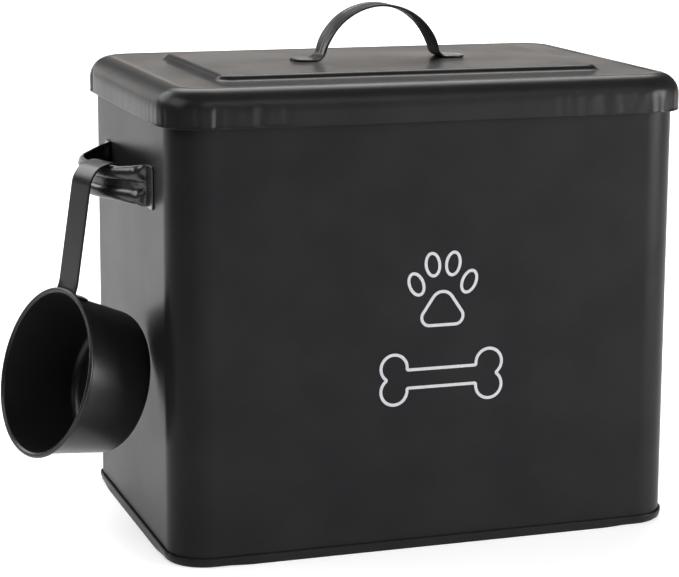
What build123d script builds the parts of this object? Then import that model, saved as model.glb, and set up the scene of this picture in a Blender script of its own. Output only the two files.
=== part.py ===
from build123d import *
from math import asin, cos, degrees, radians, sin, sqrt
import os

# A lidded sheet-steel pet food bin with a scoop hanging on its side handle.
# Millimetres, +Z up. The origin is the centre of the bin's footprint on the floor.
# The printed front faces -Y, and the scoop hangs on the -X side.

# ---- driving dimensions ----
SHEET = 0.6                     # sheet steel of the bin and the lid

BODY_X = 296.0                  # outside of the wall
BODY_Y = 200.0
BODY_CORNER = 22.0
CURL_R = 1.7                    # outward curl along the wall's top edge
CURL_Z = 252.0                  # height of the curl's centre
CURL_SWEEP = 325.0              # degrees of the curl, from the wall over the top
WIRE_R = 1.05                   # wire inside the curl

SEAM_PROUD = 1.6                # folded bead round the foot of the wall
SEAM_HEIGHT = 5.5
SEAM_FLOOR = 0.9                # folded metal under the wall's lower edge
SEAM_INNER = 0.7                # upstand inside the wall
SEAM_EDGE_R = 0.7               # rounded edges of the bead
PAN_RECESS = 4.0                # underside of the base above the floor

BACK_SEAM_WIDTH = 7.0           # lock seam where the wrapped wall closes
BACK_SEAM_PROUD = 1.0
BACK_SEAM_EDGE_R = 0.6

LID_OVERHANG = 4.6
LID_LOW = 240.0
LID_TOP = 260.8
LID_SHOULDER_R = 12.8
HEM_HEIGHT = 4.0
HEM_EDGE_R = 0.5
PANEL_INSET = 40.6              # raised panel, from the lid's outer face
PANEL_CORNER = 8.0
PANEL_RISE = 2.9
PANEL_EDGE_R = 1.5

STRAP_T = 1.2                   # strap steel of the lid handle and the scoop handle
LID_HANDLE_W = 20.0
LID_HANDLE_R = 36.5             # outer face of the arch
LID_HANDLE_SINK = 4.5           # arch centre below the raised panel's top
LID_HANDLE_REACH = 52.0         # centre to the tip of a foot
LID_HANDLE_BEND_R = 5.5
LID_HANDLE_TIP_R = 6.0          # rounded corners of the feet
GROOVE_DEPTH = 0.35             # shallow channel along the arch's outer face
GROOVE_W = 13.6
GROOVE_START = 20.0             # degrees above the level where the channel begins

HANDLE_Z = 202.6                # side handles, mid height
HANDLE_H = 18.6
HANDLE_BULGE = 28.0             # from the wall to the outermost point
HANDLE_HALF_SPAN = 50.0
HANDLE_T = 1.0
HANDLE_BEAD_R = 2.8             # rolled upper and lower edges
FLANGE_H = 24.0
FLANGE_IN = 46.5
FLANGE_OUT = 58.0
FLANGE_CORNER = 3.0

SCOOP_RIM = (-204.9, -32.6, 99.1)   # centre of the cup's mouth
SCOOP_YAW = 17.4                # turn of the scoop towards the front, degrees
SCOOP_LEAN = 15.5               # tilt of the mouth towards the sky, degrees
CUP_T = 0.8
CUP_TOP_R = 45.4
CUP_BOTTOM_R = 39.55
CUP_DEPTH = 46.2
CUP_EDGE_R = 6.0
CUP_BEAD_R = 1.3                # rolled rim
CUP_BEAD_OUT = 0.8              # centre of the rolled rim outside the cup's wall
SCOOP_STRAP_W = 20.0
SCOOP_STRAP_LEAN = 9.3          # tilt of the strap towards the wall, degrees
SCOOP_FOOT = (2.8, 12.6)        # the foot's ends, as depths behind the mouth
HOOK_START_Z = 202.5            # where the strap starts to bend
HOOK_R = 13.4                   # centre line of the hook
HOOK_TURN = 158.0               # degrees
LEG_DROP = 6.0                  # the leg is drawn on into the cup, then trimmed to it

PRINT_T = 0.12
PRINT_LINE = 1.7
PAW_CENTRE = (4.0, 145.0)
TOE_R = (4.8, 7.2)
TOES = ((-15.5, 5.0, 24.0), (-6.0, 15.5, 8.0), (6.0, 15.5, -8.0), (15.5, 5.0, -24.0))   # x, y, tilt
PAD_HEEL = (7.5, -14.0, 5.5)    # half spacing, height and radius of the pad's two lower lobes
PAD_TOP = (-6.5, 7.5)           # height and radius of its upper lobe
BONE_CENTRE = (4.0, 97.0)
BONE_SHAFT = (54.0, 12.0)
BONE_KNOB_R = 8.5
BONE_KNOBS = (56.0, 13.0)       # spacing of the four knobs

# ---- derived dimensions ----
LID_X = BODY_X + 2 * LID_OVERHANG
LID_Y = BODY_Y + 2 * LID_OVERHANG
LID_CORNER = BODY_CORNER + LID_OVERHANG
PANEL_TOP = LID_TOP + PANEL_RISE
WALL_X = BODY_X / 2
CURL_OUT = CURL_R - SHEET       # curl centre outside the wall's outer face

os.makedirs("parts", exist_ok=True)


def save(piece, name):
    piece.part.label = name
    export_step(piece.part, f"parts/{name}.step")


def wall_outline(grow):
    """The wall's outer outline, grown outwards by a distance."""
    return RectangleRounded(BODY_X + 2 * grow, BODY_Y + 2 * grow, BODY_CORNER + grow)


def wall_opening(grow):
    """The same outline, cut from the sketch."""
    return RectangleRounded(
        BODY_X + 2 * grow, BODY_Y + 2 * grow, BODY_CORNER + grow, mode=Mode.SUBTRACT
    )


def wall_path(grow, z):
    """One closed line round the bin at a height, starting at the middle of the front."""
    flat_x = BODY_X / 2 - BODY_CORNER
    flat_y = BODY_Y / 2 - BODY_CORNER
    corner = BODY_CORNER + grow
    with BuildLine(Plane.XY.offset(z)) as path:
        front = Line((0, -flat_y - corner), (flat_x, -flat_y - corner))
        turn = JernArc(start=front @ 1, tangent=front % 1, radius=corner, arc_size=90)
        right = Line(turn @ 1, (flat_x + corner, flat_y))
        turn = JernArc(start=right @ 1, tangent=right % 1, radius=corner, arc_size=90)
        back = Line(turn @ 1, (-flat_x, flat_y + corner))
        turn = JernArc(start=back @ 1, tangent=back % 1, radius=corner, arc_size=90)
        left = Line(turn @ 1, (-flat_x - corner, -flat_y))
        turn = JernArc(start=left @ 1, tangent=left % 1, radius=corner, arc_size=90)
        Line(turn @ 1, front @ 0)
    return path.line


# ---- body wall: one wrapped sheet with a curled top edge ----
curl_path = wall_path(CURL_OUT, CURL_Z)
curl_plane = Plane(origin=curl_path @ 0, x_dir=(0, -1, 0), z_dir=(-1, 0, 0))   # x outwards, y up

with BuildPart() as body_wall:
    with BuildSketch(Plane.XY.offset(SEAM_FLOOR)):
        wall_outline(0)
        wall_opening(-SHEET)
    extrude(amount=CURL_Z - SEAM_FLOOR)
    with BuildSketch(Plane(origin=(0, BODY_Y / 2, SEAM_HEIGHT), z_dir=(0, 0, 1))):
        Rectangle(BACK_SEAM_WIDTH, BACK_SEAM_PROUD, align=(Align.CENTER, Align.MIN))
    extrude(amount=CURL_Z - 2 * CURL_R - SEAM_HEIGHT)
    back_edges = body_wall.edges().filter_by(Axis.Z).group_by(Axis.Y)[-1]
    fillet(back_edges, BACK_SEAM_EDGE_R)
    with BuildSketch(curl_plane):
        with BuildLine():
            outer_curl = CenterArc((0, 0), CURL_R, 180, -CURL_SWEEP)
            inner_curl = CenterArc((0, 0), CURL_R - SHEET, 180, -CURL_SWEEP)
            Line(outer_curl @ 0, inner_curl @ 0)
            Line(outer_curl @ 1, inner_curl @ 1)
        make_face()
    sweep(path=curl_path)
save(body_wall, "body_wall")

# ---- wire that stiffens the curled rim ----
with BuildPart() as rim_wire:
    with BuildSketch(curl_plane):
        Circle(WIRE_R)
    sweep(path=curl_path)
save(rim_wire, "rim_wire")

# ---- base pan: recessed sheet, folded round the wall's foot ----
with BuildPart() as base_pan:
    with BuildSketch():
        wall_outline(SEAM_PROUD)
    extrude(amount=SEAM_HEIGHT)
    outer_rims = base_pan.edges().filter_by(Plane.XY)
    fillet(outer_rims, SEAM_EDGE_R)
    with BuildSketch(Plane.XY.offset(SEAM_HEIGHT)):
        wall_outline(-SHEET - SEAM_INNER)
    extrude(amount=PAN_RECESS + SHEET - SEAM_HEIGHT, mode=Mode.SUBTRACT)
    with BuildSketch():
        wall_outline(-SHEET - SEAM_INNER)
    extrude(amount=PAN_RECESS, mode=Mode.SUBTRACT)
    with BuildSketch(Plane.XY.offset(SEAM_FLOOR)):
        wall_outline(0)
        wall_opening(-SHEET)
    extrude(amount=SEAM_HEIGHT, mode=Mode.SUBTRACT)
save(base_pan, "base_pan")


# ---- lid: drawn shell with a rounded shoulder and a raised panel ----
def lid_form(inside):
    """The lid's outer form as a solid, with every face moved inwards by a distance."""
    with BuildPart() as form:
        with BuildSketch(Plane.XY.offset(LID_LOW)):
            RectangleRounded(LID_X - 2 * inside, LID_Y - 2 * inside, LID_CORNER - inside)
        extrude(amount=LID_TOP - inside - LID_LOW)
        fillet(form.faces().sort_by(Axis.Z)[-1].edges(), LID_SHOULDER_R - inside)
        with BuildSketch(Plane.XY.offset(LID_TOP - inside)):
            RectangleRounded(
                LID_X - 2 * (PANEL_INSET + inside),
                LID_Y - 2 * (PANEL_INSET + inside),
                PANEL_CORNER - inside,
            )
        extrude(amount=PANEL_RISE)
        fillet(form.faces().sort_by(Axis.Z)[-1].edges(), PANEL_EDGE_R - inside)
    return form.part


with BuildPart() as lid_shell:
    add(lid_form(0))
    add(lid_form(SHEET), mode=Mode.SUBTRACT)
    with BuildSketch(Plane.XY.offset(LID_LOW)):
        RectangleRounded(LID_X - 2 * SHEET, LID_Y - 2 * SHEET, LID_CORNER - SHEET)
        RectangleRounded(
            LID_X - 4 * SHEET, LID_Y - 4 * SHEET, LID_CORNER - 2 * SHEET, mode=Mode.SUBTRACT
        )
    extrude(amount=HEM_HEIGHT)
    fillet(lid_shell.edges().filter_by(Plane.XY).group_by(Axis.Z)[0], HEM_EDGE_R)
save(lid_shell, "lid_shell")


# ---- lid handle: strap arch with two flat feet ----
foot_z = PANEL_TOP + STRAP_T / 2
arch_z = PANEL_TOP - LID_HANDLE_SINK
arch_r = LID_HANDLE_R - STRAP_T / 2
bend_rise = foot_z + LID_HANDLE_BEND_R - arch_z
bend_angle = degrees(asin(bend_rise / (arch_r + LID_HANDLE_BEND_R)))
bend_x = sqrt((arch_r + LID_HANDLE_BEND_R) ** 2 - bend_rise**2)
groove_arc = 180 - 2 * GROOVE_START

with BuildPart() as lid_handle:
    with BuildSketch(Plane.XZ) as strap_profile:
        with BuildLine() as strap_line:
            CenterArc((0, arch_z), arch_r, bend_angle, 180 - 2 * bend_angle)
            CenterArc((bend_x, foot_z + LID_HANDLE_BEND_R), LID_HANDLE_BEND_R, 270, -90 + bend_angle)
            Line((bend_x, foot_z), (LID_HANDLE_REACH, foot_z))
            CenterArc((-bend_x, foot_z + LID_HANDLE_BEND_R), LID_HANDLE_BEND_R, 270, 90 - bend_angle)
            Line((-bend_x, foot_z), (-LID_HANDLE_REACH, foot_z))
        trace(line_width=STRAP_T)
    extrude(amount=LID_HANDLE_W / 2, both=True)
    foot_tips = lid_handle.edges().filter_by(Axis.Z)
    fillet(foot_tips, LID_HANDLE_TIP_R)
    with BuildSketch(Plane.XZ):
        with BuildLine():
            groove_floor = CenterArc((0, arch_z), LID_HANDLE_R - GROOVE_DEPTH, GROOVE_START, groove_arc)
            groove_top = CenterArc((0, arch_z), LID_HANDLE_R + STRAP_T, GROOVE_START, groove_arc)
            Line(groove_floor @ 0, groove_top @ 0)
            Line(groove_floor @ 1, groove_top @ 1)
        make_face()
    extrude(amount=GROOVE_W / 2, both=True, mode=Mode.SUBTRACT)
save(lid_handle, "lid_handle")

# ---- side handles: bowed straps with beaded edges and welded flanges ----
bow_r = (HANDLE_HALF_SPAN**2 + HANDLE_BULGE**2) / (2 * HANDLE_BULGE)
bow_x = WALL_X + HANDLE_BULGE - bow_r
bow_half_angle = degrees(asin(HANDLE_HALF_SPAN / bow_r)) + 1
web_r = bow_r - HANDLE_BEAD_R
bead_z = HANDLE_H / 2 - HANDLE_BEAD_R
flange_mid = (FLANGE_IN + FLANGE_OUT) / 2


def side_handle(side):
    """The handle on the +X wall for side = 1, and on the -X wall for side = -1."""
    start = radians(bow_half_angle)
    start_plane = Plane(
        origin=(side * bow_x, 0, HANDLE_Z),
        x_dir=(side * cos(start), -sin(start), 0),
        z_dir=(-sin(start), -side * cos(start), 0),
    )
    wall_plane = Plane(origin=(side * WALL_X, 0, HANDLE_Z), x_dir=(0, side, 0), z_dir=(side, 0, 0))
    bow_axis = Axis((side * bow_x, 0, 0), (0, 0, side))
    with BuildPart() as handle:
        with BuildSketch(start_plane):
            for up in (1, -1):
                with Locations((web_r, up * bead_z)):
                    Circle(HANDLE_BEAD_R)
            with Locations((web_r, 0)):
                Rectangle(HANDLE_T, 2 * bead_z)
            for up in (1, -1):
                with Locations((web_r, up * bead_z)):
                    Circle(HANDLE_BEAD_R - HANDLE_T, mode=Mode.SUBTRACT)
            with Locations((web_r - HANDLE_T / 2, 0)):
                Rectangle(
                    HANDLE_BEAD_R, HANDLE_H, align=(Align.MAX, Align.CENTER), mode=Mode.SUBTRACT
                )
        revolve(axis=bow_axis, revolution_arc=2 * bow_half_angle)
        with BuildSketch(wall_plane):
            with Locations((flange_mid, 0), (-flange_mid, 0)):
                RectangleRounded(FLANGE_OUT - FLANGE_IN, FLANGE_H, FLANGE_CORNER)
        extrude(amount=HANDLE_T)
        split(bisect_by=wall_plane, keep=Keep.TOP)
    return handle


save(side_handle(-1), "left_handle")
save(side_handle(1), "right_handle")

# ---- scoop: a spun cup on a hooked strap ----
yaw = radians(SCOOP_YAW)
lean = radians(SCOOP_LEAN)
inward = Vector(cos(yaw), sin(yaw), 0)          # horizontal, from the mouth to the bin
across = Vector(sin(yaw), -cos(yaw), 0)         # across the strap
mouth_dir = Vector(-cos(lean) * cos(yaw), -cos(lean) * sin(yaw), sin(lean))
mouth_up = Vector(sin(lean) * cos(yaw), sin(lean) * sin(yaw), cos(lean))
cup_plane = Plane(origin=SCOOP_RIM, x_dir=mouth_up, z_dir=across)       # x radial, y out of the mouth
strap_plane = Plane(origin=SCOOP_RIM, x_dir=inward, z_dir=across)       # x inward, y up
cup_axis = Axis(SCOOP_RIM, mouth_dir)


def cup_outline(inside, depth, edge_r):
    """Half of the cup's closed outline, with its outer faces moved inwards by a distance."""
    taper = (CUP_TOP_R - CUP_BOTTOM_R) / CUP_DEPTH
    mouth_r = CUP_TOP_R - inside
    FilletPolyline((mouth_r, 0), (mouth_r - taper * depth, -depth), (0, -depth), radius=edge_r)
    Polyline((0, -depth), (0, 0), (mouth_r, 0))


def cup_form(inside):
    """The cup's outer form as a solid of revolution, with its faces moved inwards by a distance."""
    with BuildPart() as form:
        with BuildSketch(cup_plane):
            with BuildLine():
                cup_outline(inside, CUP_DEPTH, CUP_EDGE_R)
            make_face()
        revolve(axis=cup_axis)
    return form.part


with BuildPart() as scoop_cup:
    with BuildSketch(cup_plane):
        with BuildLine():
            cup_outline(0, CUP_DEPTH, CUP_EDGE_R)
        make_face()
        with BuildLine():
            cup_outline(CUP_T, CUP_DEPTH - CUP_T, CUP_EDGE_R - CUP_T)
        make_face(mode=Mode.SUBTRACT)
        with Locations((CUP_TOP_R + CUP_BEAD_OUT, -CUP_BEAD_R)):
            Circle(CUP_BEAD_R)
    revolve(axis=cup_axis)
save(scoop_cup, "scoop_cup")

strap_lean = radians(SCOOP_STRAP_LEAN)
foot_start, foot_end = SCOOP_FOOT
leg_foot_x = CUP_TOP_R * sin(lean) + foot_start * cos(lean) + STRAP_T / 2
leg_foot_y = CUP_TOP_R * cos(lean) - foot_start * sin(lean)
leg_rise = HOOK_START_Z - SCOOP_RIM[2] - leg_foot_y

with BuildPart() as foot_pad:
    add(cup_form(-STRAP_T))
    with BuildSketch(cup_plane.offset(-SCOOP_STRAP_W / 2)):
        with Locations((0, -foot_start)):
            Rectangle(2 * CUP_TOP_R, foot_end - foot_start, align=(Align.MIN, Align.MAX))
    extrude(amount=SCOOP_STRAP_W, mode=Mode.INTERSECT)

with BuildPart() as scoop_handle:
    with BuildSketch(strap_plane):
        with BuildLine():
            leg = Line(
                (leg_foot_x - LEG_DROP * sin(strap_lean), leg_foot_y - LEG_DROP * cos(strap_lean)),
                (leg_foot_x + leg_rise * sin(strap_lean), leg_foot_y + leg_rise * cos(strap_lean)),
            )
            JernArc(start=leg @ 1, tangent=leg % 1, radius=HOOK_R, arc_size=-HOOK_TURN)
        trace(line_width=STRAP_T)
    extrude(amount=SCOOP_STRAP_W / 2, both=True)
    add(foot_pad.part)
    add(cup_form(0), mode=Mode.SUBTRACT)
save(scoop_handle, "scoop_handle")


# ---- printed line drawings on the front ----
def print_plane(centre):
    return Plane(origin=(centre[0], -BODY_Y / 2, centre[1]), x_dir=(1, 0, 0), z_dir=(0, -1, 0))


heel_x, heel_y, heel_r = PAD_HEEL
top_y, top_r = PAD_TOP

with BuildPart() as paw_print:
    for toe_x, toe_y, tilt in TOES:
        with BuildSketch(print_plane(PAW_CENTRE)):
            with Locations(Location((toe_x, toe_y), tilt)):
                Ellipse(*TOE_R)
                Ellipse(TOE_R[0] - PRINT_LINE, TOE_R[1] - PRINT_LINE, mode=Mode.SUBTRACT)
        extrude(amount=PRINT_T)
    with BuildSketch(print_plane(PAW_CENTRE)) as pad:
        with Locations((-heel_x, heel_y), (heel_x, heel_y)):
            Circle(heel_r)
        with Locations((0, top_y)):
            Circle(top_r)
        make_hull()
        offset(amount=-PRINT_LINE, mode=Mode.SUBTRACT)
    extrude(amount=PRINT_T)
save(paw_print, "paw_print")

with BuildPart() as bone_print:
    with BuildSketch(print_plane(BONE_CENTRE)) as bone:
        Rectangle(*BONE_SHAFT)
        with GridLocations(*BONE_KNOBS, 2, 2):
            Circle(BONE_KNOB_R)
        offset(amount=-PRINT_LINE, mode=Mode.SUBTRACT)
    extrude(amount=PRINT_T)
save(bone_print, "bone_print")
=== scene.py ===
"""The looks of the pet food bin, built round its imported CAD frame.

Shapes are worked out in millimetres and written to meshes in metres, in the frame's own axes:
+Z up, the printed front faces -Y, the scoop hangs on the -X side.
"""
from math import acos, asin, atan2, cos, degrees, exp, pi, radians, sin, sqrt, tan

import bmesh
import bpy
from mathutils import Matrix, Vector, noise


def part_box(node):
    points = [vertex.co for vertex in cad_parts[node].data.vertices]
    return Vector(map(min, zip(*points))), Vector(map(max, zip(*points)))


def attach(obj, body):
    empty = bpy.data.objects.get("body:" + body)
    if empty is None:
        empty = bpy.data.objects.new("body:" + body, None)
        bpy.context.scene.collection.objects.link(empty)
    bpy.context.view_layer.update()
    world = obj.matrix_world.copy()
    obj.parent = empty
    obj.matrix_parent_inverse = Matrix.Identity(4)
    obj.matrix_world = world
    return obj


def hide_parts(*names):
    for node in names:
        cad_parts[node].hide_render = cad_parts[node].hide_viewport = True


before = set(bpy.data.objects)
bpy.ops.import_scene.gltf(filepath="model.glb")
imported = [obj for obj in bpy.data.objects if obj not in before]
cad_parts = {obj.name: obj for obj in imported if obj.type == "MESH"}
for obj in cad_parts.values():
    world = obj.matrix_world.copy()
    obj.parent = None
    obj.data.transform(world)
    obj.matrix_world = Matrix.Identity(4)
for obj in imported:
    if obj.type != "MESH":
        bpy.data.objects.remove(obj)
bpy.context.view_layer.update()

MM = 0.001


def box_mm(node):
    """Lowest and highest corner of a CAD node, in millimetres."""
    low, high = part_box(node)
    return low / MM, high / MM


# ---- sizes of the sheet-metal forms: lengths in millimetres, sweeps and turns in degrees ----
SHEET = 0.6
STRAP_T = 1.2

wall_high = box_mm("body_wall")[1]
pan_high = box_mm("base_pan")[1]
lid_low, lid_high = box_mm("lid_shell")
grip_low, grip_high = box_mm("right_handle")
arch_high = box_mm("lid_handle")[1]

SEAM_PROUD = 1.6
BODY_HALF_X = pan_high.x - SEAM_PROUD
BODY_HALF_Y = pan_high.y - SEAM_PROUD
BODY_CORNER = 22.0
SEAM_HEIGHT = pan_high.z
SEAM_FLOOR = 0.9
SEAM_INNER = 0.7
SEAM_EDGE_R = 0.6
SEAM_TUCK = 1.1
SEAM_TUCK_REACH = 22.0
SEAM_LIP_R = 0.3
SEAM_FOLD_R = 0.35
PLEAT_REACH = 9.0
PAN_RECESS = 4.0
PAN_EDGE = 4.0

CURL_R = 1.7
CURL_OUT = CURL_R - SHEET
CURL_Z = wall_high.z - CURL_R
CURL_SWEEP = 325.0
BACK_SEAM_HALF = 3.5
BACK_SEAM_PROUD = 1.0
BACK_SEAM_TOP = CURL_Z - 2 * CURL_R

LID_CORNER = BODY_CORNER + lid_high.x - BODY_HALF_X
LID_LOW = lid_low.z
PANEL_RISE = 2.9
PANEL_TOP = lid_high.z
LID_TOP = PANEL_TOP - PANEL_RISE
SHOULDER_R = 12.8
HEM_HEIGHT = 4.0
HEM_R = 0.5
CREASE_DEPTH = 1.5
CREASE_REACH_LONG = 34.0
CREASE_REACH_SHORT = 8.0
DISH_DEPTH = 0.16
PANEL_INSET = 40.6
PANEL_CORNER = 8.0
PANEL_STEP_R = 4.2

ARCH_HALF_W = arch_high.y
ARCH_REACH = arch_high.x
ARCH_R = 36.5
ARCH_Z = PANEL_TOP - 4.5
ARCH_BEND_R = 5.5
ARCH_TIP_R = 7.0
CHANNEL_HALF = 6.8
CHANNEL_DEPTH = 0.4
ARCH_PINCH = 1.3
RIDGE_HEIGHT = 0.09
RIDGE_PITCH = 4.4

GRIP_BULGE = 28.0
GRIP_HALF_SPAN = 50.0
GRIP_T = 1.0
GRIP_BEAD_R = 2.8
GRIP_H = 18.6
GRIP_WEB = 4.6
GRIP_Z = (grip_low.z + grip_high.z) / 2
GRIP_BEND_R = 2.5
GRIP_DENT = 1.2
FLANGE_H = grip_high.z - grip_low.z
FLANGE_OUT = grip_high.y
FLANGE_CORNER = 3.0

SCOOP_RIM = Vector((-204.9, -32.6, 99.1))
SCOOP_YAW = radians(17.4)
SCOOP_LEAN = radians(15.5)
CUP_T = 0.8
CUP_TOP_R = 45.4
CUP_BOTTOM_R = 39.55
CUP_DEPTH = 46.2
CUP_EDGE_R = 6.0
CUP_BEAD_R = 1.3
CUP_BEAD_OUT = 0.8
CUP_TAPER = (CUP_TOP_R - CUP_BOTTOM_R) / CUP_DEPTH
CUP_STEPS = 120
SPINNING_RINGS = 0.03
HOOK_HALF_W = 10.0
HOOK_LEAN = radians(9.3)
HOOK_FOOT_START = 2.8
HOOK_FOOT_END = 12.6
HOOK_START_Z = 202.5
HOOK_R = 13.4
HOOK_TURN = 158.0
HOOK_FOOT_BEND_R = 2.0
HOOK_TIP_R = 3.0


# ---- small helpers ----
def smooth_step(t):
    """0 up to t = 0, 1 from t = 1, and an eased rise between."""
    t = min(max(t, 0.0), 1.0)
    return t * t * (3 - 2 * t)


def wave(x, y=0.0, z=0.0, seed=0.0):
    """Smooth noise from about -1 to 1, at a place given in wavelengths."""
    return noise.noise(Vector((x + seed, y - seed, z + 2 * seed)))


def arc(centre, radius, start, end, steps):
    """Points on an arc in a section's plane, angles in degrees, both ends included."""
    turns = [radians(start + (end - start) * i / steps) for i in range(steps + 1)]
    return [(centre[0] + radius * cos(t), centre[1] + radius * sin(t)) for t in turns]


def stops(steps, length, edge=0.4):
    """Shares of a straight run, with one close to each end so that its shading stays flat."""
    near = min(edge / length, 0.25)
    return [0.0, near] + [near + (1 - 2 * near) * i / steps for i in range(1, steps)] + [1 - near, 1.0]


def run(start, end, steps):
    """Points along a straight run of a section."""
    length = sqrt((end[0] - start[0]) ** 2 + (end[1] - start[1]) ** 2)
    return [
        (start[0] + (end[0] - start[0]) * t, start[1] + (end[1] - start[1]) * t)
        for t in stops(steps, length)
    ]


def joined(*parts):
    """One list of points from several, leaving out doubled ones where they meet."""
    points = []
    for part in parts:
        for p in part:
            if not points or (points[-1][0] - p[0]) ** 2 + (points[-1][1] - p[1]) ** 2 > 1e-8:
                points.append(p)
    return points


def ribbon(mid, thick):
    """The closed outline of a strip of a thickness, drawn along an open mid-line, with eased ends."""
    half = thick / 2
    normals = []
    for i in range(len(mid)):
        a, b = mid[max(i - 1, 0)], mid[min(i + 1, len(mid) - 1)]
        length = sqrt((b[0] - a[0]) ** 2 + (b[1] - a[1]) ** 2)
        normals.append((-(b[1] - a[1]) / length, (b[0] - a[0]) / length))

    def end_cap(p, n):
        """From the +n side to the -n side, round the end, which lies clockwise from n."""
        out = (n[1], -n[0])
        points = []
        for turn in (67.5, 45.0, 22.5, 0.0, -22.5, -45.0, -67.5):
            c, s = cos(radians(turn)) ** 0.6, sin(radians(turn))
            s = abs(s) ** 0.6 * (1 if s > 0 else -1)
            points.append((p[0] + half * (out[0] * c + n[0] * s), p[1] + half * (out[1] * c + n[1] * s)))
        return points

    upper = [(p[0] + half * n[0], p[1] + half * n[1]) for p, n in zip(mid, normals)]
    lower = [(p[0] - half * n[0], p[1] - half * n[1]) for p, n in zip(mid, normals)]
    first = (-normals[0][0], -normals[0][1])
    return upper + end_cap(mid[-1], normals[-1]) + lower[::-1] + end_cap(mid[0], first)


def bent_line(start, heading, moves, pitch=2.0, fine=7.0):
    """(point, heading, length so far) samples along runs and turns, in a plane.
    A move is a length, or (radius, degrees) with left positive."""
    samples = [(Vector(start), radians(heading), 0.0)]
    for move in moves:
        point, angle, length = samples[-1]
        if isinstance(move, tuple):
            radius, turn = move
            side = 1 if turn > 0 else -1
            centre = point + side * radius * Vector((-sin(angle), cos(angle)))
            steps = max(4, int(abs(turn) / fine), int(radius * abs(radians(turn)) / pitch))
            for i in range(1, steps + 1):
                a = angle + radians(turn) * i / steps
                place = centre - side * radius * Vector((-sin(a), cos(a)))
                samples.append((place, a, length + radius * abs(radians(turn)) * i / steps))
        else:
            way = Vector((cos(angle), sin(angle)))
            for share in stops(max(2, int(move / pitch)), move, 0.3)[1:]:
                samples.append((point + way * move * share, angle, length + move * share))
    return samples


def mesh_piece(
    name, rows, body, replaces,
    closed_rows=False, closed_section=False, end_faces=(), caps=False, glossy=(),
):
    """A smooth mesh over rows of 3-D points in millimetres, riding on a body in place of CAD nodes.
    end_faces are the columns whose points close the form with one flat face each.
    glossy columns take the piece's second material."""
    count = len(rows[0])
    verts = [Vector(p) * MM for row in rows for p in row]
    faces = []
    for i in range(len(rows) if closed_rows else len(rows) - 1):
        a, b = i * count, (i + 1) % len(rows) * count
        for j in range(count if closed_section else count - 1):
            k = (j + 1) % count
            faces.append((a + j, b + j, b + k, a + k))
    for column in end_faces:
        faces.append(tuple(i * count + column for i in range(len(rows))))
    if caps:
        faces.append(tuple(range(count)))
        faces.append(tuple(range(len(verts) - count, len(verts))))
    mesh = bpy.data.meshes.new(name)
    mesh.from_pydata(verts, [], faces)
    for face in mesh.polygons:
        face.material_index = 1 if len(face.vertices) == 4 and face.vertices[0] % count in glossy else 0
    shape = bmesh.new()
    shape.from_mesh(mesh)
    bmesh.ops.recalc_face_normals(shape, faces=shape.faces)
    shape.to_mesh(mesh)
    shape.free()
    mesh.shade_smooth()
    piece = bpy.data.objects.new(name, mesh)
    bpy.context.scene.collection.objects.link(piece)
    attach(piece, body)
    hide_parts(*replaces)
    return piece


def box_ring(half_x, half_y, corner, arc_steps, x_steps, y_steps):
    """A rounded rectangle as (point, outward normal) pairs, anticlockwise from the front's left end."""
    flat_x, flat_y = half_x - corner, half_y - corner
    pairs = []
    sides = (
        ((-flat_x, -half_y), (flat_x, -half_y), -90, x_steps),
        ((half_x, -flat_y), (half_x, flat_y), 0, y_steps),
        ((flat_x, half_y), (-flat_x, half_y), 90, x_steps),
        ((-half_x, flat_y), (-half_x, -flat_y), 180, y_steps),
    )
    for start, end, facing, steps in sides:
        start, end = Vector(start), Vector(end)
        side_normal = Vector((round(cos(radians(facing))), round(sin(radians(facing)))))
        for i in range(arc_steps):
            a = radians(facing - 90 + 90 * i / arc_steps)
            normal = Vector((cos(a), sin(a)))
            pairs.append((start - corner * side_normal + corner * normal, normal))
        for share in stops(steps, (end - start).length, 1.0)[:-1]:
            pairs.append((start + (end - start) * share, side_normal))
    return pairs


def lengths_round(ring):
    """Distance of each ring point from the first, along the ring."""
    total, lengths = 0.0, []
    for i, (point, _) in enumerate(ring):
        if i:
            total += (point - ring[i - 1][0]).length
        lengths.append(total)
    return lengths


def from_corner(point, half_x, half_y, corner):
    """Distance along the side from the nearest rounded corner, and 0 inside it."""
    gap_x, gap_y = half_x - corner - abs(point.x), half_y - corner - abs(point.y)
    if gap_x < 0 and gap_y < 0:
        return 0.0
    return max(gap_x, 0.0) if abs(point.y) > half_y - corner else max(gap_y, 0.0)


# ---- the bin's body ----
def make_body():
    """The wrapped wall: both skins, the curled rim and the lock seam at the back."""
    outer = run((0, SEAM_FLOOR), (0, CURL_Z), 46)
    section = joined(
        outer,
        arc((CURL_OUT, CURL_Z), CURL_OUT, 180, 180 - CURL_SWEEP, 22),
        arc((CURL_OUT, CURL_Z), CURL_R, 180 - CURL_SWEEP, 180, 30),
        run((-SHEET, CURL_Z), (-SHEET, SEAM_FLOOR), 46),
    )
    rows = []
    for point, normal in box_ring(BODY_HALF_X, BODY_HALF_Y, BODY_CORNER, 18, 150, 60):
        row = []
        for i, (out, z) in enumerate(section):
            proud = 0.0
            # the lock seam: a flat upright band in the middle of the back
            if i < len(outer) and normal.y > 0.99:
                across = smooth_step((BACK_SEAM_HALF + 0.5 - abs(point.x)) / 1.0)
                up = smooth_step((z - SEAM_HEIGHT) / 1.5) * smooth_step((BACK_SEAM_TOP - z) / 2.5)
                proud = BACK_SEAM_PROUD * across * up
            where = point + normal * (out + proud)
            row.append((where.x, where.y, z))
        rows.append(row)
    return mesh_piece("body_sheet", rows, "bin", ["body_wall"], True, True)


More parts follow.
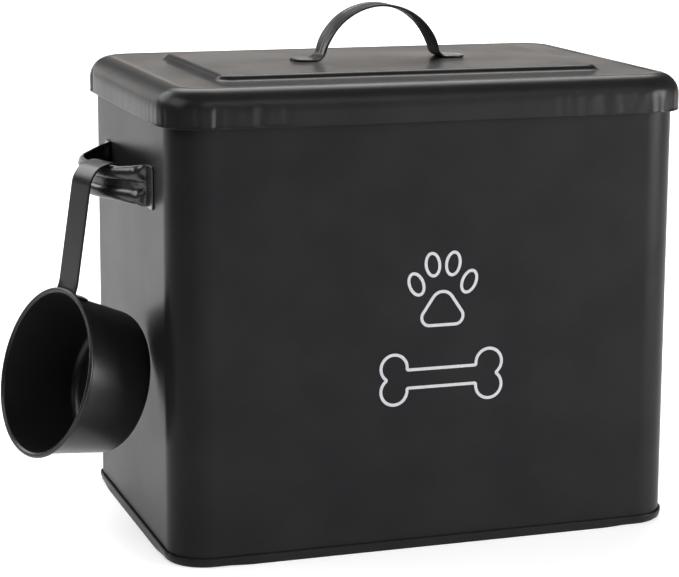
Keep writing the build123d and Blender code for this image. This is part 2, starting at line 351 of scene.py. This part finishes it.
def make_base():
    """The recessed base, and the bead of sheet that is folded round the wall's foot.
    Round the corners the bead is pleated, and its lower edge is tucked in and up."""
    proud, top, edge_r, lip_r = SEAM_PROUD, SEAM_HEIGHT, SEAM_EDGE_R, SEAM_LIP_R
    lip, slit = -SHEET - SEAM_INNER, 0.03
    section = joined(
        [(lip - PAN_EDGE, PAN_RECESS)],
        run((lip, PAN_RECESS), (lip, lip_r), 3),
        arc((lip + lip_r, lip_r), lip_r, 180, 270, 3),
        run((lip + lip_r, 0), (proud - edge_r, 0), 2),
        arc((proud - edge_r, edge_r), edge_r, 270, 360, 6),
        run((proud, edge_r), (proud, top - edge_r), 4),
        arc((proud - edge_r, top - edge_r), edge_r, 0, 90, 7),
        arc((0.8, top - SEAM_FOLD_R), SEAM_FOLD_R, 90, 180, 4),
        run((0.42, top - 0.6), (0.3, top - 1.6), 2),
        [(slit, top - 2.2), (slit, SEAM_FLOOR - slit), (-SHEET - slit, SEAM_FLOOR - slit)],
        arc((lip + lip_r, top - lip_r), lip_r, 45, 180, 4),
        run((lip, top - 0.5), (lip, PAN_RECESS + SHEET), 2),
        [(lip - PAN_EDGE, PAN_RECESS + SHEET)],
    )
    ring = box_ring(BODY_HALF_X, BODY_HALF_Y, BODY_CORNER, 30, 110, 70)
    rows = []
    for (point, normal), along in zip(ring, lengths_round(ring)):
        away = from_corner(point, BODY_HALF_X, BODY_HALF_Y, BODY_CORNER)
        bent = exp(-away / PLEAT_REACH)
        tucked = SEAM_TUCK * smooth_step(1 - away / SEAM_TUCK_REACH)
        pleat = bent * wave(along / 3.4, seed=4) + 0.3 * wave(along / 21, seed=9)
        row = []
        for out, z in section:
            high = smooth_step(z / top) if out > 0.25 else 0.0
            low = (1 - smooth_step(z / (0.75 * top))) * smooth_step((out + 0.6) / 1.4)
            where = point + normal * (out + high * min(0.22 * pleat - 0.2, 0.0) - 0.8 * tucked * low)
            sag = 0.45 * (pleat - 0.5) if high and z > 0.6 * top else 0.0
            row.append((where.x, where.y, z + min(sag, 0.0) + 0.6 * tucked * low))
        rows.append(row)
    ends = (0, len(section) - 1)
    return mesh_piece("base_bead", rows, "bin", ["base_pan"], True, end_faces=ends)


# ---- the lid ----
def skirt_shift(point, along, z):
    """How far the drawn skirt is moved outwards at a place, never more than 0.
    These are upright creases that fade away from the corners, further along the front and the back."""
    away = from_corner(point, lid_high.x, lid_high.y, LID_CORNER)
    reach = CREASE_REACH_LONG if abs(point.y) > lid_high.y - LID_CORNER else CREASE_REACH_SHORT
    # deepest at the corners, with a faint share that reaches 120 mm along the sides
    fade = exp(-((away / reach) ** 1.3)) + 0.08 * smooth_step((120 - away) / 60.0)
    # none at the hem's lower edge, nor on the upper half of the shoulder
    high = smooth_step((z - LID_LOW) / 1.5) * smooth_step((LID_TOP - 6.3 - z) / 6.0)
    creases = abs(wave(along / 5.0, z / 70, seed=11)) + 0.4 * abs(wave(along / 3.2, z / 50, seed=5))
    return -CREASE_DEPTH * fade * high * creases


def top_dish(x, y):
    """How far the flat of the lid is lifted at a place, never more than 0.
    This is a shallow waviness that spares the handle's feet."""
    foot_x, foot_half_x, foot_half_y = 46.0, 8, 10
    clear = smooth_step((max(abs(abs(x) - foot_x) - foot_half_x, abs(y) - foot_half_y)) / 14.0)
    return -DISH_DEPTH * clear * (1 + wave(x / 60, y / 45, seed=2))


def make_lid():
    """The drawn lid: hem, skirt, rounded shoulder, ledge and raised panel, with both skins."""
    low, top, hem = LID_LOW, LID_TOP, 2 * SHEET
    shoulder_z = top - SHOULDER_R
    skirt_in = joined(
        arc((-SHOULDER_R, shoulder_z), SHOULDER_R - SHEET, 90, 0, 12),
        run((-SHEET, shoulder_z), (-SHEET, low + HEM_HEIGHT), 4),
        run((-hem, low + HEM_HEIGHT - 0.1), (-hem, low + HEM_R), 3),
        arc((-hem + HEM_R, low + HEM_R), HEM_R, 180, 270, 4),
    )
    skirt_out = joined(
        arc((-HEM_R, low + HEM_R), HEM_R, 270, 360, 4),
        run((0, low + HEM_R), (0, shoulder_z), 12),
        arc((-SHOULDER_R, shoulder_z), SHOULDER_R, 0, 90, 20),
    )
    step_turn = acos(1 - PANEL_RISE / (2 * PANEL_STEP_R))
    step_half = PANEL_STEP_R * sin(step_turn)
    step_out = joined(
        [(step_half + 1.5, top)],
        arc((step_half, top + PANEL_STEP_R), PANEL_STEP_R, 270, 270 - degrees(step_turn), 9),
        arc((-step_half, PANEL_TOP - PANEL_STEP_R), PANEL_STEP_R, 90 - degrees(step_turn), 90, 9),
        [(-step_half - 1.5, PANEL_TOP)],
    )
    step_in = [(out - 0.3 * SHEET, z - SHEET) for out, z in step_out]
    ledge_shares = [0.03] + [0.03 + 0.94 * i / 7 for i in range(1, 8)]
    panel_shares = [0.95, 0.88, 0.8, 0.7, 0.6, 0.5, 0.4, 0.3, 0.2, 0.1]

    ring_steps = (26, 110, 70)
    skirt = box_ring(lid_high.x, lid_high.y, LID_CORNER, *ring_steps)
    panel_x, panel_y = lid_high.x - PANEL_INSET, lid_high.y - PANEL_INSET
    panel = box_ring(panel_x, panel_y, PANEL_CORNER, *ring_steps)

    def flat(where, z):
        """A point of the flats, with their waviness."""
        return (where.x, where.y, z + top_dish(where.x, where.y))

    def upper_rows(p, normal, q, panel_normal, step, drop):
        """The ledge, the panel's step and its flat, from the shoulder inwards."""
        points = []
        edge = p - normal * SHOULDER_R
        foot = q + panel_normal * step[0][0]
        for share in ledge_shares:
            points.append(flat(edge + (foot - edge) * share, top - drop))
        for out, z in step:
            points.append(flat(q + panel_normal * out, z))
        last = q + panel_normal * step[-1][0]
        for share in panel_shares:
            points.append(flat(last * share, PANEL_TOP - drop))
        return points

    rows = []
    for (p, normal), (q, panel_normal), along in zip(skirt, panel, lengths_round(skirt)):
        under = upper_rows(p, normal, q, panel_normal, step_in, SHEET)
        row = under[::-1]
        for out, z in skirt_in + skirt_out:
            where = p + normal * (out + skirt_shift(p, along, z))
            row.append((where.x, where.y, z))
        row += upper_rows(p, normal, q, panel_normal, step_out, 0.0)
        rows.append(row)
    ends = (0, len(rows[0]) - 1)
    return mesh_piece("lid_sheet", rows, "lid", ["lid_shell"], True, end_faces=ends)


# ---- straps ----
def strap_rows(samples, place, half_at, mid_at, thick):
    """Rows of a bent strip's outline, along the samples of its mid-line seen from its edge.
    half_at gives its half width, mid_at the points across it, and place puts them in 3-D."""
    total = samples[-1][2]
    rows = []
    for point, angle, length in samples:
        to_end = min(length, total - length)
        ease = min(to_end / 0.35, 1.0)
        t = thick * (0.35 + 0.65 * sqrt(ease * (2 - ease)))
        out = Vector((-sin(angle), cos(angle)))
        section = ribbon(mid_at(length, total, half_at(length, total) - t / 2), t)
        rows.append([place(point + out * off, across) for across, off in section])
    return rows


def strap_piece(name, rows, body, node):
    """The closed mesh of a strip in place of its CAD node."""
    return mesh_piece(name, rows, body, [node], closed_section=True, caps=True)


def tip_half(half, to_end, corner):
    """Half width of a strip near its end, where its two corners are rounded."""
    if to_end >= corner:
        return half
    return half - corner + sqrt(max(corner**2 - (corner - to_end) ** 2, 0.0)) + 0.02


def make_lid_handle():
    """The arch on the lid: a shallow channel along its back, pinched at the bends, with two flat feet."""
    foot_z = PANEL_TOP + STRAP_T / 2
    arch_r = ARCH_R - STRAP_T / 2
    lift = asin((foot_z + ARCH_BEND_R - ARCH_Z) / (arch_r + ARCH_BEND_R))
    bend_x = (arch_r + ARCH_BEND_R) * cos(lift)
    turn = 90 - degrees(lift)
    foot = ARCH_REACH - bend_x
    moves = [foot, (ARCH_BEND_R, turn), (arch_r, -2 * turn), (ARCH_BEND_R, turn), foot]
    samples = bent_line((-ARCH_REACH, foot_z), 0, moves, 1.4, 6.0)
    bend_end = foot + ARCH_BEND_R * radians(turn)

    def half_at(length, total):
        to_end = min(length, total - length)
        pinch = ARCH_PINCH * exp(-(((to_end - bend_end) / 5.0) ** 2))
        return tip_half(ARCH_HALF_W, to_end, ARCH_TIP_R) - pinch

    def mid_at(length, total, half):
        to_end = min(length, total - length)
        formed = smooth_step((to_end - foot + 1) / 9.0)
        channel_half = CHANNEL_HALF * half / ARCH_HALF_W
        points = []
        for i in range(29):
            across = half * (2 * i / 28 - 1)
            inside = smooth_step((channel_half + 1.2 - abs(across)) / 2.4)
            ridges = RIDGE_HEIGHT * cos(2 * pi * across / RIDGE_PITCH) * inside
            points.append((across, formed * (ridges - CHANNEL_DEPTH * inside)))
        return points

    rows = strap_rows(samples, lambda p, a: (p.x, a, p.y), half_at, mid_at, STRAP_T)
    return strap_piece("lid_strap", rows, "lid", "lid_handle")


def make_side_handle(side, name, node):
    """A bowed strap with rolled edges, which are crushed flat where it turns onto the wall."""
    bow_r = (GRIP_HALF_SPAN**2 + GRIP_BULGE**2) / (2 * GRIP_BULGE)
    web_r = bow_r - GRIP_BEAD_R
    centre_out = GRIP_BULGE - bow_r
    turn = acos((GRIP_T / 2 - centre_out + GRIP_BEND_R) / (web_r + GRIP_BEND_R))
    flange = FLANGE_OUT - (web_r + GRIP_BEND_R) * sin(turn)
    angle = degrees(turn)
    moves = [flange, (GRIP_BEND_R, angle), (web_r, -2 * angle), (GRIP_BEND_R, angle), flange]
    samples = bent_line((-FLANGE_OUT, GRIP_T / 2), 0, moves, 0.9, 6.0)
    bend_end = flange + GRIP_BEND_R * turn
    roll_r = GRIP_BEAD_R - GRIP_T / 2
    web_half = GRIP_WEB / 2
    roll_half = (GRIP_H / 2 - GRIP_T / 2 - web_half) / 2

    def half_at(length, total):
        to_end = min(length, total - length)
        flare = smooth_step((bend_end + 24 - to_end) / 32.0)
        half = GRIP_H / 2 + (FLANGE_H - GRIP_H) / 2 * flare
        return tip_half(half, to_end, FLANGE_CORNER)

    def mid_at(length, total, half):
        past_bend = min(length, total - length) - bend_end
        rolled = smooth_step((past_bend + 1.0) / 5.0)
        crumple = smooth_step((past_bend + 1.5) / 2.5) * smooth_step((9 - past_bend) / 4.0)
        # an offset for each end and each side of the bin, so that no two ends are dented alike
        where = length + 40 * (length > total / 2) + 90 * side
        web_steps, roll_steps = 8, 14
        points = []
        for i in range(-web_steps - roll_steps, web_steps + roll_steps + 1):
            up = 1 if i > 0 else -1
            if abs(i) <= web_steps:
                z, out = web_half * i / web_steps, 0.0
            else:
                t = -pi / 2 + pi * (abs(i) - web_steps) / roll_steps
                reach = (half - web_half) / (2 * roll_half)
                z = up * (web_half + roll_half * (1 + sin(t)) * reach)
                out = rolled * roll_r * cos(t) + 0.25 * (1 - rolled) * crumple * cos(t)
            dent = GRIP_DENT * crumple * wave(where / 3.6, z / 4.6, seed=7)
            points.append((z, out + dent))
        return points

    def place(p, across):
        return (side * (BODY_HALF_X + p.y), p.x, GRIP_Z + across)

    rows = strap_rows(samples, place, half_at, mid_at, GRIP_T)
    return strap_piece(name, rows, "bin", node)


# ---- the scoop ----
scoop_in = Vector((cos(SCOOP_YAW), sin(SCOOP_YAW), 0))
scoop_across = Vector((sin(SCOOP_YAW), -cos(SCOOP_YAW), 0))
mouth_out = Vector((0, 0, sin(SCOOP_LEAN))) - scoop_in * cos(SCOOP_LEAN)
mouth_up = Vector((0, 0, cos(SCOOP_LEAN))) + scoop_in * sin(SCOOP_LEAN)


def make_cup():
    """The spun cup with its rolled rim, faintly ringed by the spinning tool."""
    bead = (CUP_TOP_R + CUP_BEAD_OUT, -CUP_BEAD_R)
    low_z = -CUP_DEPTH
    low_r = CUP_BOTTOM_R
    inner_r, floor_z = CUP_TOP_R - CUP_T, low_z + CUP_T
    in_low_r = inner_r - CUP_TAPER * (CUP_DEPTH - CUP_T)
    inner_edge = CUP_EDGE_R - CUP_T
    slant = atan2(CUP_TAPER, 1)
    pull = 1 / cos(slant) - CUP_TAPER
    inner_mid = (in_low_r - inner_edge * pull, floor_z + inner_edge)
    outer_mid = (low_r - CUP_EDGE_R * pull, low_z + CUP_EDGE_R)
    inner_curve = arc(inner_mid, inner_edge, 270, 360 - degrees(slant), 14)
    outer_curve = arc(outer_mid, CUP_EDGE_R, -degrees(slant), -90, 14)
    rim_curve = arc(bead, CUP_BEAD_R, 150, -120, 22)
    section = joined(
        run((2.0, floor_z), inner_curve[0], 16),
        inner_curve,
        run(inner_curve[-1], (inner_r - 0.05, -0.9), 18),
        rim_curve,
        run((CUP_TOP_R - CUP_TAPER * 3.0, -3.0), outer_curve[0], 20),
        outer_curve,
        run(outer_curve[-1], (2.0, low_z), 16),
    )
    rows = []
    for step in range(CUP_STEPS):
        a = 2 * pi * step / CUP_STEPS
        radial = mouth_up * cos(a) + scoop_across * sin(a)
        row = []
        for r, z in section:
            ringed = SPINNING_RINGS * wave(r / 1.9 + z / 2.3, seed=8) if z > low_z + 0.01 else 0.0
            row.append(SCOOP_RIM + radial * (r + ringed) + mouth_out * z)
        rows.append(row)
    ends = (0, len(section) - 1)
    rim_start = section.index(rim_curve[0])
    rim = range(rim_start, rim_start + len(rim_curve) - 1)
    return mesh_piece(
        "scoop_bowl", rows, "scoop", ["scoop_cup"], True, end_faces=ends, glossy=rim
    )


def make_scoop_handle():
    """The flat strap: a foot on the cup, a straight leg and a hook over the side handle."""
    lean_sin, lean_cos = sin(SCOOP_LEAN), cos(SCOOP_LEAN)

    def on_cup(depth, above):
        """A place on the cup's upper side, above its skin, in the hook's own plane."""
        r = CUP_TOP_R - CUP_TAPER * depth + above
        return Vector((r * lean_sin + depth * lean_cos, r * lean_cos - depth * lean_sin))

    foot_end, foot_start = on_cup(HOOK_FOOT_END, STRAP_T / 2), on_cup(HOOK_FOOT_START, STRAP_T / 2)
    foot_way = (foot_start - foot_end).normalized()
    leg_way = Vector((sin(HOOK_LEAN), cos(HOOK_LEAN)))
    leg_foot = Vector((
        CUP_TOP_R * lean_sin + HOOK_FOOT_START * lean_cos + STRAP_T / 2,
        CUP_TOP_R * lean_cos - HOOK_FOOT_START * lean_sin,
    ))
    leg_rise = HOOK_START_Z - SCOOP_RIM.z - leg_foot.y
    gap = leg_foot - foot_end
    cross = foot_way.x * leg_way.y - foot_way.y * leg_way.x
    to_meet = (gap.x * leg_way.y - gap.y * leg_way.x) / cross
    meet = foot_end + foot_way * to_meet
    heading = degrees(atan2(foot_way.y, foot_way.x))
    leg_heading = 90 - degrees(HOOK_LEAN)
    turn = heading - leg_heading
    cut = HOOK_FOOT_BEND_R * tan(radians(turn / 2))
    leg_length = (leg_foot + leg_way * leg_rise - meet).length - cut
    moves = [to_meet - cut, (HOOK_FOOT_BEND_R, -turn), leg_length, (HOOK_R, -HOOK_TURN)]
    samples = bent_line(foot_end, heading, moves, 2.2, 7.0)
    foot_length = to_meet - cut

    def half_at(length, total):
        return tip_half(HOOK_HALF_W, min(length, total - length), HOOK_TIP_R)

    def mid_at(length, total, half):
        hug = smooth_step((foot_length + 7 - length) / 7.0)
        r = CUP_TOP_R + STRAP_T
        points = []
        for i in range(17):
            across = half * (2 * i / 16 - 1)
            points.append((across, hug * (r - sqrt(r * r - across * across))))
        return points

    def place(p, across):
        return SCOOP_RIM + scoop_in * p.x + Vector((0, 0, p.y)) + scoop_across * across

    rows = strap_rows(samples, place, half_at, mid_at, STRAP_T)
    return strap_piece("scoop_strap", rows, "scoop", "scoop_handle")


# ---- materials ----
class Paint:
    """A node material under construction, in the object's own coordinates in metres."""

    def __init__(self, name):
        self.material = bpy.data.materials.new(name)
        self.material.use_nodes = True
        self.tree = self.material.node_tree
        self.shader = self.tree.nodes["Principled BSDF"]
        self.place = self.tree.nodes.new("ShaderNodeTexCoord").outputs["Object"]

    def noise(self, wavelength, detail=2.0, roughness=0.5):
        """A noise value from 0 to 1 with about this wavelength in millimetres."""
        node = self.tree.nodes.new("ShaderNodeTexNoise")
        node.inputs["Scale"].default_value = 1000 / wavelength
        node.inputs["Detail"].default_value = detail
        node.inputs["Roughness"].default_value = roughness
        self.tree.links.new(self.place, node.inputs["Vector"])
        return node.outputs["Fac"]

    def ramp(self, value, low, high, start=0.35, end=0.65):
        """A value mapped from its start-to-end share to the low-to-high range."""
        node = self.tree.nodes.new("ShaderNodeMapRange")
        node.interpolation_type = "SMOOTHSTEP"
        node.inputs["From Min"].default_value = start
        node.inputs["From Max"].default_value = end
        node.inputs["To Min"].default_value = low
        node.inputs["To Max"].default_value = high
        self.tree.links.new(value, node.inputs["Value"])
        return node.outputs["Result"]

    def blend(self, share, first, second):
        """A colour between two, by a share."""
        node = self.tree.nodes.new("ShaderNodeMix")
        node.data_type = "RGBA"
        node.inputs[6].default_value = (*first, 1.0)
        node.inputs[7].default_value = (*second, 1.0)
        self.tree.links.new(share, node.inputs["Factor"])
        return node.outputs[2]

    def add(self, first, second):
        """The sum of two values."""
        node = self.tree.nodes.new("ShaderNodeMath")
        node.operation = "ADD"
        self.tree.links.new(first, node.inputs[0])
        self.tree.links.new(second, node.inputs[1])
        return node.outputs[0]

    def bump(self, height, depth, normal=None):
        """Relief of a height value, depth in millimetres."""
        node = self.tree.nodes.new("ShaderNodeBump")
        node.inputs["Strength"].default_value = 1.0
        node.inputs["Distance"].default_value = depth * MM
        self.tree.links.new(height, node.inputs["Height"])
        if normal:
            self.tree.links.new(normal, node.inputs["Normal"])
        return node.outputs["Normal"]

    def feed(self, value, socket):
        """Link a value or a colour to one of the shader's sockets."""
        self.tree.links.new(value, self.shader.inputs[socket])


def powder_coat(name, dark, light, rough, rough_spread, specular, grain):
    """Black powder coat: fine orange peel, faint mottling, and smudges that change its gloss.
    The colour lies between dark and light; grain is the orange peel's depth in millimetres."""
    paint = Paint(name)
    paint.shader.inputs["IOR"].default_value = 1.45
    paint.shader.inputs["Specular IOR Level"].default_value = specular
    clouds = paint.ramp(paint.noise(34, 4.0), 0.0, 0.6)
    specks = paint.ramp(paint.noise(1.1, 1.0), 0.0, 0.4)
    mottle = paint.add(clouds, specks)
    paint.feed(paint.blend(mottle, dark, light), "Base Color")
    smudge = paint.ramp(paint.noise(55, 5.0, 0.6), rough - rough_spread, rough + rough_spread)
    paint.feed(smudge, "Roughness")
    peel = paint.bump(paint.noise(1.6, 2.0), grain)
    paint.feed(paint.bump(paint.noise(0.45, 1.0), grain * 0.35, peel), "Normal")
    return paint.material


def print_ink():
    """Pale screen-print ink, thin enough for the coat's grain to show through in places."""
    paint = Paint("print_ink")
    thin = paint.ramp(paint.noise(1.3, 3.0, 0.6), 0.0, 1.0, 0.3, 0.7)
    paint.feed(paint.blend(thin, (0.43, 0.43, 0.455), (0.385, 0.385, 0.41)), "Base Color")
    paint.feed(paint.ramp(paint.noise(9, 2.0), 0.5, 0.66), "Roughness")
    paint.feed(paint.bump(paint.noise(0.9, 2.0), 0.01), "Normal")
    return paint.material


def drawn_wire():
    """Bare drawn steel wire, dulled and lightly scored along its length."""
    paint = Paint("rim_wire_steel")
    paint.shader.inputs["Metallic"].default_value = 1.0
    dull = paint.ramp(paint.noise(12, 4.0, 0.6), 0.0, 1.0)
    paint.feed(paint.blend(dull, (0.46, 0.46, 0.47), (0.30, 0.29, 0.28)), "Base Color")
    paint.feed(paint.ramp(paint.noise(4, 3.0), 0.28, 0.5), "Roughness")
    paint.feed(paint.bump(paint.noise(0.4, 2.0), 0.02), "Normal")
    return paint.material


def dress(obj, *materials):
    """Give an object these materials and no others."""
    obj.data.materials.clear()
    for material in materials:
        obj.data.materials.append(material)


# ---- the studio ----
def light_panel(name, place, towards, width, height, watts, colour=(1, 1, 1)):
    """A soft rectangular light that faces a point and isn't seen by the camera. Lengths are in metres."""
    lamp = bpy.data.lights.new(name, "AREA")
    lamp.shape = "RECTANGLE"
    lamp.size = width
    lamp.size_y = height
    lamp.energy = watts
    lamp.color = colour
    obj = bpy.data.objects.new(name, lamp)
    obj.location = place
    obj.visible_camera = False
    obj.rotation_euler = (Vector(towards) - Vector(place)).to_track_quat("-Z", "Y").to_euler()
    bpy.context.scene.collection.objects.link(obj)


def make_floor():
    """A wide floor of thin white paper with a painted glow: it emits light of its own, faintly near the bin
    and more so far behind it.
    """
    half = 40.0
    near_glow, far_glow, glow_start, glow_end = 0.45, 1.0, 1.5, 4.5
    mesh = bpy.data.meshes.new("studio_floor")
    corners = [(-half, -half, 0), (half, -half, 0), (half, half, 0), (-half, half, 0)]
    mesh.from_pydata(corners, [], [(0, 1, 2, 3)])
    floor = bpy.data.objects.new("studio_floor", mesh)
    bpy.context.scene.collection.objects.link(floor)
    paint = Paint("floor_paper")
    paint.shader.inputs["Roughness"].default_value = 0.9
    paint.shader.inputs["Specular IOR Level"].default_value = 0.1
    paint.shader.inputs["Emission Color"].default_value = (1, 1, 1, 1)
    axes = paint.tree.nodes.new("ShaderNodeSeparateXYZ")
    paint.tree.links.new(paint.place, axes.inputs["Vector"])
    # painted glow: emission strength that rises from near the bin to far behind it, lifting the floor and
    # its shadows towards white
    glow = paint.ramp(axes.outputs["Y"], near_glow, far_glow, glow_start, glow_end)
    paint.feed(glow, "Emission Strength")
    paint.feed(paint.blend(paint.noise(400, 2.0), (0.86, 0.86, 0.86), (0.89, 0.89, 0.89)), "Base Color")
    dress(floor, paint.material)


def make_flag():
    """A black card to the left of the camera, seen only in the dark end of the front's reflections."""
    ends = [Vector((-0.92, 0.35)), Vector((-1.0, -0.2)), Vector((-0.68, -0.95))]
    verts = [(p.x, p.y, z) for p in ends for z in (0.005, 0.6)]
    mesh = bpy.data.meshes.new("studio_flag")
    mesh.from_pydata(verts, [], [(0, 2, 3, 1), (2, 4, 5, 3)])
    flag = bpy.data.objects.new("studio_flag", mesh)
    bpy.context.scene.collection.objects.link(flag)
    flag.visible_camera = False
    paint = Paint("flag_felt")
    paint.shader.inputs["Roughness"].default_value = 0.9
    paint.feed(paint.blend(paint.noise(30, 2.0), (0.010, 0.010, 0.010), (0.016, 0.016, 0.016)), "Base Color")
    dress(flag, paint.material)


def make_camera():
    """A long lens a little to the left of the front and above the bin."""
    azimuth, elevation, roll = radians(-19.1417), radians(10.5719), radians(0.424)
    distance = 1.32648
    target = Vector((-0.006762, 0.0, 0.156603))
    back = Vector((sin(azimuth) * cos(elevation), -cos(azimuth) * cos(elevation), sin(elevation)))
    data = bpy.data.cameras.new("camera")
    data.sensor_width = 36.0
    data.lens = 119.46
    data.shift_x = -0.0376
    data.shift_y = -0.0714
    camera = bpy.data.objects.new("camera", data)
    turn = (-back).to_track_quat("-Z", "Y").to_matrix().to_4x4()
    camera.matrix_world = Matrix.Translation(target + back * distance) @ turn @ Matrix.Rotation(roll, 4, "Z")
    bpy.context.scene.collection.objects.link(camera)
    bpy.context.scene.camera = camera


def make_studio():
    """Dim white surroundings, the floor, the card and the lights."""
    world = bpy.data.worlds.new("studio")
    world.use_nodes = True
    world.node_tree.nodes["Background"].inputs["Color"].default_value = (1, 1, 1, 1)
    world.node_tree.nodes["Background"].inputs["Strength"].default_value = 0.08
    bpy.context.scene.world = world
    bpy.context.scene.view_settings.view_transform = "Standard"
    make_floor()
    make_flag()
    # name, place, what it faces, width, height, watts and colour
    light_panel("back_top", (0.45, 1.45, 2.0), (0, 0, 0.2), 1.7, 1.3, 36, (1.0, 0.98, 0.96))
    light_panel("left_key", (-1.45, -0.1, 1.2), (0, 0, 0.2), 1.1, 1.1, 18)
    light_panel("back_low", (0.6, 3.2, 0.36), (0, 0, 0.2), 2.6, 0.56, 11, (1.0, 0.93, 0.88))
    light_panel("back_left_low", (-1.1, 3.0, 0.62), (0, 0, 0.2), 1.0, 0.5, 1.6)
    light_panel("left_top", (-1.12, 1.38, 1.22), (0, 0, 0.2), 1.4, 0.9, 16)
    light_panel("right", (1.75, -1.4, 0.35), (-0.1, 0, 0.1), 1.2, 1.0, 72)
    light_panel("front_top", (0.4, -2.6, 2.4), (0, 0, 0.0), 2.4, 1.4, 26)
    light_panel("far_floor", (0.6, 4.0, 3.2), (0.6, 3.6, 0), 5.0, 3.0, 60)


# ---- everything together ----
bin_paint = powder_coat(
    "bin_paint", (0.010, 0.0095, 0.0105), (0.014, 0.0135, 0.0145),
    rough=0.33, rough_spread=0.015, specular=0.09, grain=0.02,
)
lid_paint = powder_coat(
    "lid_paint", (0.010, 0.0095, 0.0100), (0.014, 0.0135, 0.0140),
    rough=0.32, rough_spread=0.02, specular=0.15, grain=0.02,
)
grip_paint = powder_coat(
    "handle_paint", (0.009, 0.009, 0.0095), (0.013, 0.013, 0.0135),
    rough=0.32, rough_spread=0.05, specular=0.80, grain=0.015,
)
arch_paint = powder_coat(
    "arch_paint", (0.009, 0.009, 0.0095), (0.013, 0.013, 0.0135),
    rough=0.28, rough_spread=0.04, specular=0.16, grain=0.015,
)
scoop_paint = powder_coat(
    "scoop_paint", (0.009, 0.0085, 0.0095), (0.013, 0.0125, 0.0135),
    rough=0.32, rough_spread=0.03, specular=0.37, grain=0.015,
)
rim_paint = powder_coat(
    "scoop_rim_paint", (0.010, 0.0095, 0.0105), (0.016, 0.0155, 0.0165),
    rough=0.10, rough_spread=0.02, specular=0.55, grain=0.004,
)

dress(make_body(), bin_paint)
dress(make_base(), bin_paint)
dress(make_lid(), lid_paint)
dress(make_lid_handle(), arch_paint)
dress(make_side_handle(-1, "left_strap", "left_handle"), grip_paint)
dress(make_side_handle(1, "right_strap", "right_handle"), grip_paint)
dress(make_cup(), scoop_paint, rim_paint)
dress(make_scoop_handle(), scoop_paint)
dress(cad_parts["rim_wire"], drawn_wire())
ink = print_ink()
dress(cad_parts["paw_print"], ink)
dress(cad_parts["bone_print"], ink)

make_studio()
make_camera()
